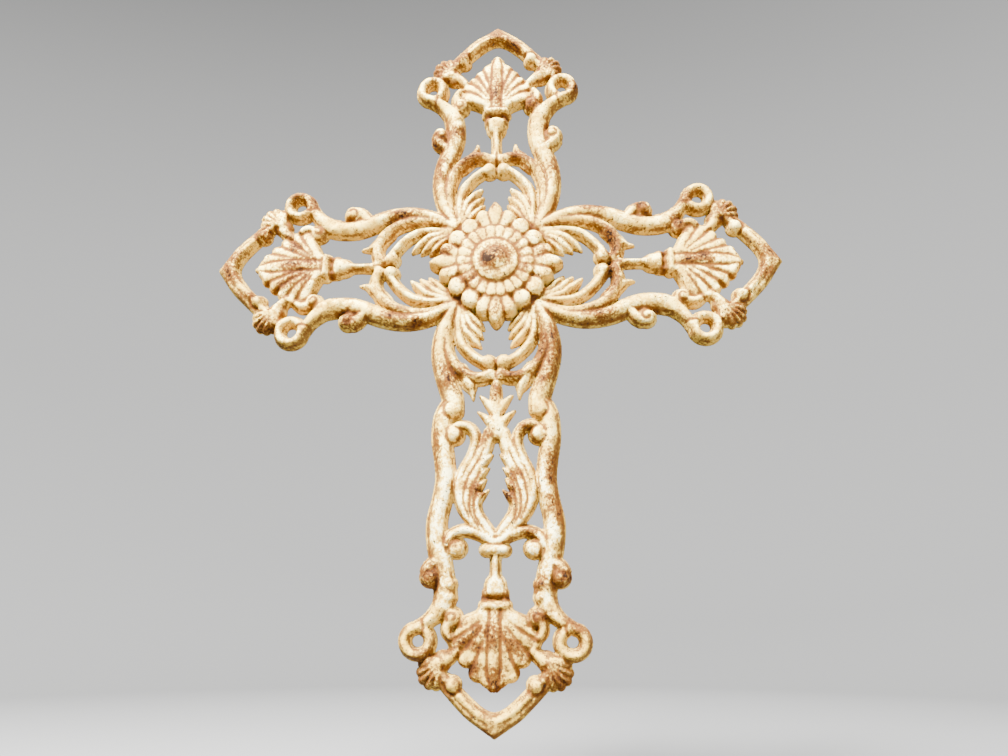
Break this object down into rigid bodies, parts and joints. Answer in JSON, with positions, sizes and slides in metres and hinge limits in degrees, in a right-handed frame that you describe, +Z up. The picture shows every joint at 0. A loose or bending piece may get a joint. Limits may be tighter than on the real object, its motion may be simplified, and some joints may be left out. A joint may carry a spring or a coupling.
{
  "type": "cast metal wall cross",
  "caption": "Openwork cast iron wall cross with a central rosette, scrolling leaf arms, shell palmettes and pointed ends, in worn white paint over rust.",
  "frame": {"origin": "on the flat back, behind the middle of the rosette", "axes": "+Z up to the head of the cross, +X to the right seen from the front, the ornamented front faces -Y and the flat back faces +Y"},
  "size_m": [0.3292, 0.0185, 0.42],
  "materials": {
    "painted_iron": "worn chalky white paint with rust showing through"
  },
  "bodies": {
    "root": {"cast_cross": "painted_iron"}
  },
  "joints": []
}
